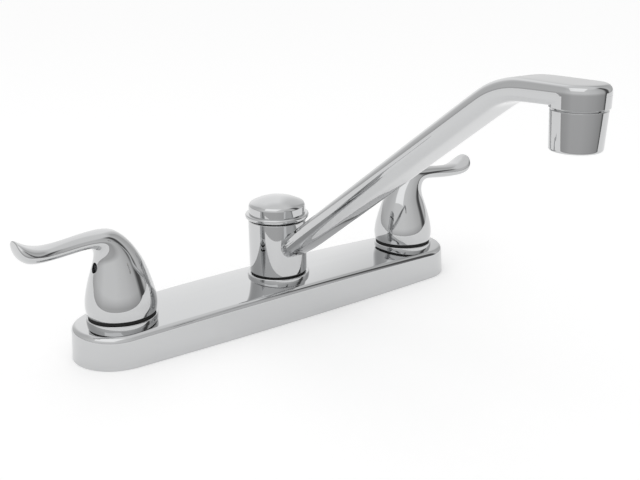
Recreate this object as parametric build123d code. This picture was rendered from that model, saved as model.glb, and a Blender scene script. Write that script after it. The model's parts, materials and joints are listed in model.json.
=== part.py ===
"""Two handle deck mounted kitchen tap: a long deck plate, two lever handles on quarter turn
cartridges, and a swinging spout between them that ends in a screwed-on aerator.

Millimetres. The origin is the centre of the underside, on the sink deck. +X runs along the plate
towards the cold handle, -Y points at the user and over the sink, and +Z is up.
"""

import os
from math import asin, atan2, cos, degrees, radians, sin, sqrt, tan

from build123d import *

# --- deck plate -------------------------------------------------------------------------------
VALVE_CENTRES = 203.2      # between the two handle axes, the 8 inch standard
PLATE_LENGTH = 259.6
PLATE_WIDTH = 54.4         # across the middle
PLATE_DRAFT = 1.1          # the sides lean in by this much over the crown's height
PLATE_SIDE_RADIUS = 2650.0  # the long sides bow out a little
CROWN_HEIGHT = 21.0        # top of the plate at its middle
CROWN_RADIUS = 2830.0      # the top arches gently along its length
CROWN_CROSS_RADIUS = 190.0  # and more across it
RIM_RADIUS = 3.2
PLATE_WALL = 1.6
BASE_THICKNESS = 2.4       # plastic plate that closes the underside
BASE_CLEARANCE = 0.3
CUT_MARGIN = 1.0           # how far a cutter reaches past what it cuts
EDGE_TOLERANCE = 0.02      # within which an edge counts as lying at a height

# --- inlet shanks, nuts and the waterway under the plate --------------------------------------
SHANK_RADIUS = 10.48       # major radius of the 1/2 inch straight pipe thread
SHANK_BORE = 6.5
SHANK_DROP = 62.0          # how far the shank reaches below the deck
SHANK_SEAT_RADIUS = 7.2    # wider mouth that takes the end of the supply tube
SHANK_SEAT_DEPTH = 12.0
SPIGOT_RADIUS = 8.0
SPIGOT_LENGTH = 4.0
SPIGOT_CLEARANCE = 0.05
SHANK_CHAMFER = 1.0
DECK_GAP = 16.0            # room for the sink deck above the washers
LOCK_WASHER_RADIUS = 19.0
LOCK_WASHER_THICKNESS = 1.6
LOCK_NUT_FLANGE_RADIUS = 18.0
LOCK_NUT_FLANGE_THICKNESS = 3.0
LOCK_NUT_HUB_RADIUS = 14.2
LOCK_NUT_HEIGHT = 13.0
LOCK_NUT_WINGS = 4
LOCK_NUT_WING_REACH = 21.0
LOCK_NUT_WING_THICKNESS = 3.2
THREAD_CLEARANCE = 0.05
VALVE_BODY_RADIUS = 14.0
VALVE_BODY_GAP = 0.5       # between the base plate and the castings above it
VALVE_WALL_GAP = 0.5       # at least this much between a casting and the plate's walls
VALVE_NECK_RADIUS = 11.5
VALVE_NECK_RISE = 10.8     # above the plate's top at the valve
VALVE_CHAMBER_RADIUS = 9.6
CROSS_TUBE_RADIUS = 4.8
CROSS_TUBE_WALL = 0.9
HOLE_CLEARANCE = 0.4

# --- quarter turn cartridges ------------------------------------------------------------------
SEAT_SEAL_THICKNESS = 2.0
CARTRIDGE_RADIUS = 8.4
CARTRIDGE_CLEARANCE = 0.1
CARTRIDGE_BORE = 7.5
CARTRIDGE_LAND = 5.0       # length of the tight fit at the top of the neck
CARTRIDGE_FLANGE_RADIUS = 10.8
CARTRIDGE_FLANGE_THICKNESS = 1.6
CARTRIDGE_WINDOW_WIDTH = 6.0
CARTRIDGE_WINDOW_HEIGHT = 2.88
DISC_RADIUS = 7.3
DISC_THICKNESS = 2.6
DISC_PORT_RADIUS = 5.6
DISC_HUB_RADIUS = 1.4
DISC_PORT_ANGLE = 60.0     # degrees that each port sweeps
TURNING_GAP = 0.1
STEM_RADIUS = 4.0
STEM_DRIVER_THICKNESS = 3.6
STEM_RISE = 30.8           # top of the stem above the skirt's lower edge
STEM_SPLINES = 16
STEM_SPLINE_DEPTH = 0.45
STEM_SPLINE_WIDTH = 0.72
STEM_SPLINE_LENGTH = 16.0
STEM_END_GAP = 0.4         # above the stem, in the handle's socket
STEM_BORE_CLEARANCE = 0.1
O_RING_WIRE = 0.9          # radius of the rubber section
BONNET_FLATS = 25.0
BONNET_SKIRT = 8.0         # thread depth below the cartridge flange
BONNET_LIP = 2.0
BONNET_CORNER_SHARE = 0.96  # corners turned down to this share of a full hexagon
BONNET_BORE_CLEARANCE = 1.5

# --- lever handles ----------------------------------------------------------------------------
HANDLE_RING_RADIUS = 19.0
HANDLE_RING_HEIGHT = 2.02
HANDLE_RING_EDGE = 0.5
GLIDE_RING_RADIUS = 18.0   # black ring that shows as a dark line under the skirt
GLIDE_RING_HEIGHT = 1.8
HANDLE_GAP = 0.2           # running gap under the skirt
SKIRT_RADIUS = 18.7
SKIRT_BELLY = 0.7          # the skirt swells by this much just above its lower edge
HANDLE_HEIGHT = 46.9       # from the skirt's lower edge to the top of the neck
HANDLE_WALL = 2.4
HANDLE_CAVITY_DEPTH = 26.0
HANDLE_CAVITY_WAIST = 0.93  # half way up, over the cavity's foot
HANDLE_CAVITY_HEAD = 0.66
BOSS_RADIUS = 7.2
BOSS_DEPTH = 13.0          # from the skirt's lower edge up to the boss's foot
SOCKET_CLEARANCE = 0.05
LEVER_TURN = 4.0           # degrees that each closed lever points towards the user
LEVER_REACH = 53.5         # from the handle axis to the tip
LEVER_DROP = 2.2           # how far the lever's top dips below the neck's top
LEVER_LIFT = 5.8           # how far its tip rises again
LEVER_THICKNESS = 7.8
NECK_FRONT = 12.2          # from the axis to the inside of the neck, under the lever
NECK_WIDTH = 18.0
LEVER_WIDTH = 12.6
LEVER_LEAN = 0.6           # the lever's slices lean by this much
PADDLE_WIDTH = 19.0
# The handle's slices. Heights are shares of HANDLE_HEIGHT, radii and widths shares of the belly.
BELL_SLICES = ((1.0, 0.10), (0.955, 0.23), (0.85, 0.39))    # radius, height
NECK_SLICES = (            # back height, front height, back offset, width
    (0.55, 0.52, -0.735, 1.43),
    (0.69, 0.61, -0.56, 1.18),
    (0.82, 0.68, -0.35, 1.04),
    (0.925, 0.735, -0.10, 0.93),
)
NECK_SWELL = (0.184, 0.066, 0.0, 0.0)    # how far each neck slice's front stands out, over NECK_FRONT
ROOT_SLICES = (            # top's offset over NECK_FRONT and height, underside's flare and height, width
    (0.213, 0.99, 0.082, 0.785, 0.92),
    (0.852, 1.0, 0.262, 0.82, 0.85),
)
LEVER_SLICES = (           # place along the lever, share of the drop, thickness and width over the lever's
    (0.20, 0.30, 1.04, 1.05),
    (0.38, 0.72, 1.02, 1.0),
    (0.56, 1.0, 1.0, 1.08),
    (0.72, 0.95, 1.0, 1.25),
)
PADDLE_SLICES = (          # places of top and underside, share of the lift, depth, share of the width
    (0.86, 0.885, 0.42, 0.92, 1.0),
    (0.95, 0.98, 0.85, 0.50, 0.86),
    (0.985, 1.0, 1.0, -0.15, 0.5),
)
SET_SCREW_HEIGHT = 27.0    # above the skirt's lower edge
SET_SCREW_RADIUS = 2.4
SET_SCREW_LENGTH = 5.0
SET_SCREW_KEY = 2.5        # across the flats of the hex socket
SET_SCREW_KEY_DEPTH = 2.5
SCREW_HOLE_RADIUS = 2.7
SCREW_HOLE_START = 0.5     # the clearance hole starts this far outside the boss

# --- spout ------------------------------------------------------------------------------------
BASE_RING_RADIUS = 18.7
BASE_RING_HEIGHT = 1.85
BASE_RING_EDGE = 0.7
WASHER_THICKNESS = 0.9
WASHER_INSET = 0.7
COLLAR_RADIUS = 17.2
COLLAR_WALL = 2.3
COLLAR_HEIGHT = 31.6
COLLAR_EDGE = 0.6
POST_CLEARANCE = 0.08
POST_WAIST_RADIUS = 11.4
POST_BORE = 6.0
POST_FOOT_THICKNESS = 2.0
POST_LAND = 7.0            # length of each land that the collar turns on
POST_PORT_RADIUS = 2.6
POST_PORTS = 4
POST_THREAD_RADIUS = 11.0
POST_THREAD_LENGTH = 7.0
POST_END_GAP = 0.3         # above the post, in the cap nut's blind thread
CAP_BEAD_RADIUS = 18.9
CAP_BEAD_THICKNESS = 2.8
CAP_BEAD_EDGE = 1.18
CAP_RADIUS = 16.8
CAP_BAND_HEIGHT = 8.4      # from the bead's underside to the edge of the dome
CAP_DOME_RISE = 4.6
CAP_EDGE_RADIUS = 1.6
SPOUT_REACH = 204.0        # from the swing axis to the outlet's axis
ARM_SLOPE = 35.4           # degrees above the horizontal
ARM_BEND_RADIUS = 39.0     # of the centre line
ARM_LEVEL = 8.5            # level stretch between the bend and the round head
ARM_HEAD_HEIGHT = 151.2    # centre line over the outlet
ARM_ROOT_WIDTH = 20.6
ARM_ROOT_THICKNESS = 12.6
ARM_BEND_THICKNESS = 10.4
HEAD_RADIUS = 11.5
HEAD_THICKNESS = 8.4
HEAD_EDGE_RADIUS = 2.9
HEAD_BOSS_HEIGHT = 0.8     # round boss between the arm's underside and the aerator
ARM_CORNER_SHARE = 0.44    # corner radius of the arm's slices over their thickness, up to the bend
ARM_WALL = 1.6
WALL_CORNER_SHARE = 0.8    # how much of the wall the hollow's corners lose
OUTLET_NECK_RADIUS = 9.2
OUTLET_NECK_LENGTH = 5.0
OUTLET_BORE = 7.4

# --- aerator ----------------------------------------------------------------------------------
AERATOR_GAP = 0.8          # shadow line under the spout's head
AERATOR_TOP_RADIUS = 10.9
AERATOR_BOTTOM_RADIUS = 10.2
AERATOR_LENGTH = 15.7
AERATOR_WALL = 1.1
AERATOR_LIP = 1.4          # how far the lower rim turns in
AERATOR_EDGE_RADIUS = 1.3
AERATOR_GASKET_THICKNESS = 1.4
AERATOR_SCREEN_THICKNESS = 0.6
AERATOR_SCREEN_PITCH = 2.6
AERATOR_SCREEN_SLOT = 1.7
AERATOR_SCREEN_FIELD = 7.2  # the holes' centres stay inside this radius
AERATOR_JETS = 12
AERATOR_JET_CIRCLE = 5.6
AERATOR_JET_RADIUS = 1.0
AERATOR_CLEARANCE = 0.05

# --- derived places ---------------------------------------------------------------------------
valve_x = VALVE_CENTRES / 2
casting_floor = BASE_THICKNESS + VALVE_BODY_GAP
cartridge_floor = casting_floor + SPIGOT_LENGTH
casting_edge = valve_x + VALVE_BODY_RADIUS
plate_ceiling = (CROWN_HEIGHT - PLATE_WALL + sqrt(CROWN_RADIUS**2 - casting_edge**2) - CROWN_RADIUS
                 + sqrt(CROWN_CROSS_RADIUS**2 - VALVE_BODY_RADIUS**2) - CROWN_CROSS_RADIUS)
casting_top = plate_ceiling - BASE_CLEARANCE
cross_tube_height = (casting_floor + casting_top) / 2
plate_top_at_valve = CROWN_HEIGHT - CROWN_RADIUS + sqrt(CROWN_RADIUS**2 - valve_x**2)
valve_neck_top = plate_top_at_valve + VALVE_NECK_RISE
ring_top = plate_top_at_valve + HANDLE_RING_HEIGHT
glide_top = ring_top + GLIDE_RING_HEIGHT
skirt_bottom = glide_top + HANDLE_GAP
stem_top = skirt_bottom + STEM_RISE
base_ring_top = CROWN_HEIGHT + BASE_RING_HEIGHT
collar_bottom = base_ring_top + WASHER_THICKNESS + TURNING_GAP
collar_top = collar_bottom + COLLAR_HEIGHT
cap_bottom = collar_top + TURNING_GAP + WASHER_THICKNESS
post_radius = COLLAR_RADIUS - COLLAR_WALL - POST_CLEARANCE
head_bottom = ARM_HEAD_HEIGHT - HEAD_THICKNESS / 2 - HEAD_BOSS_HEIGHT
aerator_top = head_bottom - AERATOR_GAP
aerator_bottom = aerator_top - AERATOR_LENGTH
neck_bottom = head_bottom - OUTLET_NECK_LENGTH
insert_radius = AERATOR_BOTTOM_RADIUS - AERATOR_WALL - AERATOR_CLEARANCE
nut_top = -DECK_GAP - LOCK_WASHER_THICKNESS
disc_floor = cartridge_floor + SEAT_SEAL_THICKNESS
disc_joint = disc_floor + DISC_THICKNESS + TURNING_GAP
driver_floor = disc_joint + DISC_THICKNESS
driver_top = driver_floor + STEM_DRIVER_THICKNESS
flange_top = valve_neck_top + CARTRIDGE_FLANGE_THICKNESS
bonnet_corner = BONNET_FLATS / sqrt(3) * BONNET_CORNER_SHARE
socket_radius = STEM_RADIUS + SOCKET_CLEARANCE
arm_slope = radians(ARM_SLOPE)
bend_end = SPOUT_REACH - HEAD_RADIUS - ARM_LEVEL
bend_start = bend_end - ARM_BEND_RADIUS * sin(arm_slope)
bend_start_height = ARM_HEAD_HEIGHT - ARM_BEND_RADIUS * (1 - cos(arm_slope))
port_height = bend_start_height - (bend_start - COLLAR_RADIUS) * tan(arm_slope)


def rod(radius, bottom, top, x=0.0, y=0.0):
    """A vertical cylinder between two heights."""
    return Pos(x, y, bottom) * extrude(Circle(radius), top - bottom)


def tube(outer, inner, bottom, top, x=0.0, y=0.0):
    return rod(outer, bottom, top, x, y) - rod(inner, bottom, top, x, y)


def edges_at(shape, height, min_radius=0.0):
    """Circular edges that lie flat at one height, from a smallest radius up."""
    flat = [e for e in shape.edges() if e.geom_type == GeomType.CIRCLE
            and abs(e.center().Z - height) < EDGE_TOLERANCE
            and e.bounding_box().size.Z < EDGE_TOLERANCE]
    return [e for e in flat if e.radius > min_radius - EDGE_TOLERANCE]


def plate_face(inset):
    """The plate's outline, drawn in by inset: two long shallow arcs with round ends tangent to them."""
    length = PLATE_LENGTH - 2 * inset
    width = PLATE_WIDTH - 2 * inset
    big = PLATE_SIDE_RADIUS - inset
    end = (big * width - length**2 / 4 - width**2 / 4) / (2 * big - length)
    end_x = length / 2 - end
    offset = big - width / 2
    lean = degrees(atan2(offset, end_x))
    return make_face([
        CenterArc((end_x, 0), end, -lean, 2 * lean),
        CenterArc((0, -offset), big, lean, 180 - 2 * lean),
        CenterArc((-end_x, 0), end, 180 - lean, 2 * lean),
        CenterArc((0, offset), big, 180 + lean, 180 - 2 * lean),
    ])


def crown(drop=0.0):
    """Everything below the plate's top, lowered by drop: arched along the plate and across it."""
    reach = PLATE_WIDTH / 2 + CUT_MARGIN
    far = PLATE_LENGTH / 2 + CUT_MARGIN
    slices = []
    for x in (-far, 0, far):
        peak = CROWN_HEIGHT - drop - CROWN_RADIUS + sqrt(CROWN_RADIUS**2 - x**2)
        edge = peak - CROWN_CROSS_RADIUS + sqrt(CROWN_CROSS_RADIUS**2 - reach**2)
        face = make_face([
            Line((-reach, -CROWN_HEIGHT), (reach, -CROWN_HEIGHT)),
            Line((reach, -CROWN_HEIGHT), (reach, edge)),
            ThreePointArc((reach, edge), (0, peak), (-reach, edge)),
            Line((-reach, edge), (-reach, -CROWN_HEIGHT)),
        ])
        slices.append(Plane(origin=(x, 0, 0), x_dir=(0, 1, 0), z_dir=(1, 0, 0)) * face)
    return loft(slices)


def deck_plate():
    """The plated shell: open underneath, drilled for the two valve necks and the spout's post."""
    top = Pos(0, 0, CROWN_HEIGHT)
    body = loft([plate_face(0), top * plate_face(PLATE_DRAFT)], ruled=True) & crown()
    rim = [e for e in body.edges() if e.bounding_box().min.Z > EDGE_TOLERANCE]
    body = fillet(rim, RIM_RADIUS)
    inside = loft([plate_face(PLATE_WALL), top * plate_face(PLATE_WALL + PLATE_DRAFT)], ruled=True)
    body -= inside & crown(PLATE_WALL)
    for x in (-valve_x, valve_x):
        body -= rod(VALVE_NECK_RADIUS + HOLE_CLEARANCE, 0, CROWN_HEIGHT + CUT_MARGIN, x)
    return body - rod(POST_WAIST_RADIUS + HOLE_CLEARANCE, 0, CROWN_HEIGHT + CUT_MARGIN)


def seated_ring(outer, inner, top, edge, x=0.0):
    """A ring with a rounded upper edge, its foot cut to the plate's arched top."""
    ring = tube(outer, inner, plate_ceiling, top, x)
    return fillet(edges_at(ring, top, outer), edge) - crown()


def base_plate():
    """Plastic plate inside the rim, flush with it, with a hole for each shank."""
    inset = PLATE_WALL + BASE_CLEARANCE + PLATE_DRAFT * BASE_THICKNESS / CROWN_HEIGHT
    body = extrude(plate_face(inset), BASE_THICKNESS)
    for x in (-valve_x, valve_x):
        body -= rod(SHANK_RADIUS + HOLE_CLEARANCE, -CUT_MARGIN, BASE_THICKNESS + CUT_MARGIN, x)
    return body


def shank(x):
    """Threaded inlet pipe, with a spigot that goes up into the valve casting."""
    pipe = rod(SHANK_RADIUS, -SHANK_DROP, casting_floor)
    pipe = chamfer(edges_at(pipe, -SHANK_DROP), SHANK_CHAMFER)
    pipe += rod(SPIGOT_RADIUS, casting_floor, casting_floor + SPIGOT_LENGTH - SPIGOT_CLEARANCE)
    pipe -= rod(SHANK_BORE, -SHANK_DROP, casting_floor + SPIGOT_LENGTH)
    return Pos(x, 0, 0) * (pipe - rod(SHANK_SEAT_RADIUS, -SHANK_DROP, SHANK_SEAT_DEPTH - SHANK_DROP))


def lock_washer(x):
    """Washer that bears on the underside of the sink deck."""
    return tube(LOCK_WASHER_RADIUS, SHANK_RADIUS + HOLE_CLEARANCE, nut_top, -DECK_GAP, x)


def lock_nut(x):
    """Plastic wing nut that pulls the tap down on the deck."""
    bottom = nut_top - LOCK_NUT_HEIGHT
    body = rod(LOCK_NUT_FLANGE_RADIUS, nut_top - LOCK_NUT_FLANGE_THICKNESS, nut_top)
    body += rod(LOCK_NUT_HUB_RADIUS, bottom, nut_top)
    for k in range(LOCK_NUT_WINGS):
        turn = 360 / LOCK_NUT_WINGS * (k + 0.5)
        wing = Pos(LOCK_NUT_WING_REACH / 2, 0, (bottom + nut_top) / 2) * Box(
            LOCK_NUT_WING_REACH, LOCK_NUT_WING_THICKNESS, LOCK_NUT_HEIGHT)
        body += Rot(0, 0, turn) * wing
    bore = rod(SHANK_RADIUS + THREAD_CLEARANCE, bottom - CUT_MARGIN, nut_top + CUT_MARGIN)
    return Pos(x, 0, 0) * (body - bore)


def valve_body(side):
    """Brass casting: shank socket below, cartridge chamber above, and a port for the cross tube."""
    x = side * valve_x
    land_bottom = valve_neck_top - CARTRIDGE_LAND
    room = plate_face(PLATE_WALL + PLATE_DRAFT + VALVE_WALL_GAP)
    body = rod(VALVE_BODY_RADIUS, casting_floor, casting_top) & Pos(-x, 0, 0) * extrude(room, CROWN_HEIGHT)
    body += rod(VALVE_NECK_RADIUS, casting_top, valve_neck_top)
    body -= rod(SPIGOT_RADIUS + SPIGOT_CLEARANCE, casting_floor - CUT_MARGIN, cartridge_floor)
    body -= rod(VALVE_CHAMBER_RADIUS, cartridge_floor, land_bottom)
    body -= rod(CARTRIDGE_RADIUS + CARTRIDGE_CLEARANCE, land_bottom, valve_neck_top + CUT_MARGIN)
    port = Pos(0, 0, cross_tube_height) * Rot(0, -90 * side, 0) * extrude(
        Circle(CROSS_TUBE_RADIUS - CROSS_TUBE_WALL), VALVE_BODY_RADIUS + CUT_MARGIN)
    return Pos(x, 0, 0) * (body - port)


def cross_tube(side):
    """Copper tube from a valve casting to the post, its ends cut to both castings' round walls."""
    pipe = Pos(0, 0, cross_tube_height) * Rot(0, 90 * side, 0) * extrude(
        Circle(CROSS_TUBE_RADIUS) - Circle(CROSS_TUBE_RADIUS - CROSS_TUBE_WALL), valve_x)
    pipe -= rod(VALVE_BODY_RADIUS, 0, CROWN_HEIGHT, side * valve_x)
    return pipe - rod(post_radius, 0, CROWN_HEIGHT)


def seat_seal(x):
    return tube(DISC_RADIUS, DISC_PORT_RADIUS, cartridge_floor, disc_floor, x)


def port_disc(bottom, x):
    """Ceramic disc with two facing ports."""
    disc = rod(DISC_RADIUS, bottom, bottom + DISC_THICKNESS)
    sweep = radians(DISC_PORT_ANGLE)
    wedge = make_face([
        Line((0, 0), (DISC_PORT_RADIUS, 0)),
        CenterArc((0, 0), DISC_PORT_RADIUS, 0, DISC_PORT_ANGLE),
        Line((DISC_PORT_RADIUS * cos(sweep), DISC_PORT_RADIUS * sin(sweep)), (0, 0)),
    ])
    wedge -= Circle(DISC_HUB_RADIUS)
    for turn in (0, 180):
        disc -= Pos(0, 0, bottom) * Rot(0, 0, turn) * extrude(wedge, DISC_THICKNESS)
    return Pos(x, 0, 0) * disc


def cartridge_housing(x):
    """Fixed sleeve round the discs and stem, with side windows for the water and a top flange."""
    body = rod(CARTRIDGE_RADIUS, disc_floor, valve_neck_top)
    body += rod(CARTRIDGE_FLANGE_RADIUS, valve_neck_top, flange_top)
    body -= rod(CARTRIDGE_BORE, disc_floor - CUT_MARGIN, driver_top + TURNING_GAP)
    body -= rod(STEM_RADIUS + STEM_BORE_CLEARANCE, disc_floor, flange_top + CUT_MARGIN)
    window = Pos(0, 0, (driver_floor + driver_top) / 2) * Box(
        CARTRIDGE_WINDOW_WIDTH, 2 * (CARTRIDGE_RADIUS + CUT_MARGIN), CARTRIDGE_WINDOW_HEIGHT)
    return Pos(x, 0, 0) * (body - window)


def cartridge_stem(x):
    """Turning stem: a disc driver at the foot and splines at the top."""
    body = rod(DISC_RADIUS, driver_floor, driver_top) + rod(STEM_RADIUS, driver_top, stem_top)
    groove = Pos(STEM_RADIUS, 0, stem_top - STEM_SPLINE_LENGTH / 2) * Box(
        2 * STEM_SPLINE_DEPTH, STEM_SPLINE_WIDTH, STEM_SPLINE_LENGTH)
    cuts = [Rot(0, 0, 360 / STEM_SPLINES * k) * groove for k in range(STEM_SPLINES)]
    return Pos(x, 0, 0) * (body - cuts)


def bonnet_nut(x):
    """Hexagon nut that screws on the valve neck and holds the cartridge's flange down."""
    bottom = flange_top - BONNET_SKIRT - CARTRIDGE_FLANGE_THICKNESS
    top = flange_top + BONNET_LIP
    flats = RegularPolygon(BONNET_FLATS / 2, 6, major_radius=False)
    body = Pos(0, 0, bottom) * extrude(flats, top - bottom)
    body &= rod(bonnet_corner, bottom, top)
    body -= rod(VALVE_NECK_RADIUS + THREAD_CLEARANCE, bottom - CUT_MARGIN, flange_top)
    return Pos(x, 0, 0) * (body - rod(STEM_RADIUS + BONNET_BORE_CLEARANCE, bottom, top))


def handle_ring(x):
    """Plated ring between the deck plate and the handle."""
    inner = VALVE_NECK_RADIUS + HOLE_CLEARANCE
    return seated_ring(HANDLE_RING_RADIUS, inner, ring_top, HANDLE_RING_EDGE, x)


def glide_ring(x):
    """Black plastic ring that keeps the skirt off the plated ring."""
    return tube(GLIDE_RING_RADIUS, bonnet_corner + HOLE_CLEARANCE, ring_top, glide_top, x)


def turned(outline):
    """A solid of revolution about Z from a half profile in the XZ plane."""
    return revolve(Plane.XZ * make_face(outline), Axis.Z, 360)


def handle_stations():
    """Slices up the bell, over the neck and out along the lever, which points along +X.

    Each is the back point (x, z), the front point (x, z) and the width, above the skirt's edge.
    """
    belly = SKIRT_RADIUS + SKIRT_BELLY
    top = HANDLE_HEIGHT
    dip = top - LEVER_DROP
    reach = LEVER_REACH - NECK_FRONT
    stations = [((-SKIRT_RADIUS, 0), (SKIRT_RADIUS, 0), 2 * SKIRT_RADIUS)]
    for share, rise in BELL_SLICES:
        stations.append(((-share * belly, rise * top), (share * belly, rise * top), 2 * share * belly))
    for (back_rise, front_rise, back, width), swell in zip(NECK_SLICES, NECK_SWELL):
        front = (NECK_FRONT * (1 + swell), front_rise * top)
        stations.append(((back * belly, back_rise * top), front, width * belly))
    for offset, rise, flare, under, width in ROOT_SLICES:
        underside = (NECK_FRONT * (1 + flare), under * top)
        stations.append(((NECK_FRONT * offset, rise * top), underside, width * NECK_WIDTH))
    for place, drop, thickness, width in LEVER_SLICES:
        x = NECK_FRONT + place * reach
        height = top - drop * LEVER_DROP
        underside = (x + LEVER_LEAN, height - thickness * LEVER_THICKNESS)
        stations.append(((x, height), underside, width * LEVER_WIDTH))
    for upper, lower, lift, depth, width in PADDLE_SLICES:
        stations.append(((NECK_FRONT + upper * reach, dip + lift * LEVER_LIFT),
                         (NECK_FRONT + lower * reach, dip - depth * LEVER_THICKNESS), width * PADDLE_WIDTH))
    return stations


def handle_body():
    """The outside of bell, neck and lever as one skin through elliptical slices."""
    sections = []
    for back, front, width in handle_stations():
        across = Vector(back[0] - front[0], 0, back[1] - front[1])
        middle = ((back[0] + front[0]) / 2, 0, (back[1] + front[1]) / 2)
        place = Plane(origin=middle, x_dir=(0, 1, 0), z_dir=(across.Z, 0, -across.X))
        sections.append(place * Ellipse(width / 2, across.length / 2))
    return Pos(0, 0, skirt_bottom) * loft(sections)


def handle(side):
    """Cast handle: bell, neck and lever in one, hollow below, with a splined boss and a set screw hole."""
    body = handle_body()
    cavity_top = skirt_bottom + HANDLE_CAVITY_DEPTH
    foot = SKIRT_RADIUS - HANDLE_WALL
    head = foot * HANDLE_CAVITY_HEAD
    waist = (foot * HANDLE_CAVITY_WAIST, skirt_bottom + HANDLE_CAVITY_DEPTH / 2)
    cavity = turned([
        Line((0, skirt_bottom), (foot, skirt_bottom)),
        ThreePointArc((foot, skirt_bottom), waist, (head, cavity_top)),
        Line((head, cavity_top), (0, cavity_top)),
        Line((0, cavity_top), (0, skirt_bottom)),
    ])
    boss_bottom = skirt_bottom + BOSS_DEPTH
    body -= cavity - rod(BOSS_RADIUS, boss_bottom, cavity_top)
    body -= rod(socket_radius, boss_bottom - CUT_MARGIN, stem_top + STEM_END_GAP)
    drill = Pos(0, 0, skirt_bottom + SET_SCREW_HEIGHT) * Rot(0, 90, 0)
    body -= drill * extrude(Circle(SET_SCREW_RADIUS + THREAD_CLEARANCE), BOSS_RADIUS + CUT_MARGIN)
    mouth = Pos(0, 0, BOSS_RADIUS + SCREW_HOLE_START) * extrude(Circle(SCREW_HOLE_RADIUS), SKIRT_RADIUS)
    body -= drill * mouth
    return placed_on_valve(body, side)


def placed_on_valve(shape, side):
    """Moves a piece made along +X to the cold (+1) or hot (-1) valve, turned as the closed lever is."""
    turn = -LEVER_TURN if side > 0 else 180 + LEVER_TURN
    return Pos(side * valve_x, 0, 0) * Rot(0, 0, turn) * shape


def set_screw(side):
    """Hexagon socket grub screw that grips the stem."""
    body = extrude(Circle(SET_SCREW_RADIUS), SET_SCREW_LENGTH)
    key = Pos(0, 0, SET_SCREW_LENGTH - SET_SCREW_KEY_DEPTH) * extrude(
        RegularPolygon(SET_SCREW_KEY / 2, 6, major_radius=False), SET_SCREW_LENGTH)
    body = Pos(socket_radius, 0, skirt_bottom + SET_SCREW_HEIGHT) * Rot(0, 90, 0) * (body - key)
    return placed_on_valve(body, side)


def o_ring(outer_radius, height, x=0.0):
    return Pos(x, 0, height) * Torus(outer_radius - O_RING_WIRE, O_RING_WIRE)


def centre_post():
    """Fixed brass post that feeds the spout: foot, two lands with ring grooves, ports and a top thread."""
    thread_top = cap_bottom + POST_THREAD_LENGTH
    body = rod(post_radius, casting_floor, casting_top) + rod(POST_WAIST_RADIUS, casting_top, collar_top)
    body += rod(post_radius, collar_bottom, collar_bottom + POST_LAND)
    body += rod(post_radius, collar_top - POST_LAND, collar_top)
    body += rod(POST_THREAD_RADIUS, collar_top, thread_top)
    for height in ring_heights():
        body -= rod(post_radius, height - O_RING_WIRE, height + O_RING_WIRE) - rod(
            post_radius - 2 * O_RING_WIRE, height - O_RING_WIRE, height + O_RING_WIRE)
    body -= rod(POST_BORE, casting_floor + POST_FOOT_THICKNESS, collar_top - POST_LAND)
    for side in (-1, 1):
        body -= Pos(0, 0, cross_tube_height) * Rot(0, 90 * side, 0) * extrude(
            Circle(CROSS_TUBE_RADIUS - CROSS_TUBE_WALL), post_radius + CUT_MARGIN)
    for k in range(POST_PORTS):
        body -= Pos(0, 0, port_height) * Rot(0, 90, 360 / POST_PORTS * k) * extrude(
            Circle(POST_PORT_RADIUS), post_radius)
    return body


def ring_heights():
    """Centres of the two sealing rings, in the middle of the post's lands."""
    return collar_bottom + POST_LAND / 2, collar_top - POST_LAND / 2


def base_ring():
    """Plated ring under the collar."""
    return seated_ring(BASE_RING_RADIUS, POST_WAIST_RADIUS + HOLE_CLEARANCE, base_ring_top, BASE_RING_EDGE)


def washer(bottom, inner):
    """Thin plastic slip washer below or above the collar."""
    return tube(COLLAR_RADIUS - WASHER_INSET, inner, bottom, bottom + WASHER_THICKNESS)


def cap_nut():
    """Domed nut that holds the collar down: bead, band and dome, with a blind thread."""
    band_top = cap_bottom + CAP_BAND_HEIGHT
    peak = band_top + CAP_DOME_RISE
    sphere = (CAP_RADIUS**2 + CAP_DOME_RISE**2) / (2 * CAP_DOME_RISE)
    body = rod(CAP_RADIUS, cap_bottom, peak) & Pos(0, 0, peak - sphere) * Sphere(sphere)
    body = fillet(edges_at(body, band_top, CAP_RADIUS), CAP_EDGE_RADIUS)
    bead = rod(CAP_BEAD_RADIUS, cap_bottom, cap_bottom + CAP_BEAD_THICKNESS)
    bead = fillet(edges_at(bead, cap_bottom) + edges_at(bead, cap_bottom + CAP_BEAD_THICKNESS),
                  CAP_BEAD_EDGE)
    thread_top = cap_bottom + POST_THREAD_LENGTH + POST_END_GAP
    return body + bead - rod(POST_THREAD_RADIUS + THREAD_CLEARANCE, cap_bottom, thread_top)


def arm_section(reach, inset):
    """Rounded slice of the arm, square to its centre line and drawn in by inset."""
    if reach <= bend_start:
        angle = arm_slope
        height = bend_start_height - (bend_start - reach) * tan(arm_slope)
    elif reach < bend_end:
        angle = asin((bend_end - reach) / ARM_BEND_RADIUS)
        height = ARM_HEAD_HEIGHT - ARM_BEND_RADIUS * (1 - cos(angle))
    else:
        angle = 0
        height = ARM_HEAD_HEIGHT
    along = (reach - COLLAR_RADIUS) / (SPOUT_REACH - COLLAR_RADIUS)
    width = ARM_ROOT_WIDTH + (2 * HEAD_RADIUS - ARM_ROOT_WIDTH) * along
    before = min((reach - COLLAR_RADIUS) / (bend_start - COLLAR_RADIUS), 1)
    after = max((reach - bend_start) / (SPOUT_REACH - bend_start), 0)
    thickness = ARM_ROOT_THICKNESS + (ARM_BEND_THICKNESS - ARM_ROOT_THICKNESS) * before
    thickness += (HEAD_THICKNESS - ARM_BEND_THICKNESS) * after
    corner = ARM_CORNER_SHARE * thickness * (1 - after) + HEAD_EDGE_RADIUS * after
    place = Plane(origin=(0, -reach, height), x_dir=(1, 0, 0), z_dir=(0, -cos(angle), sin(angle)))
    return place * RectangleRounded(width - 2 * inset, thickness - 2 * inset,
                                    corner - WALL_CORNER_SHARE * inset)


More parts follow.
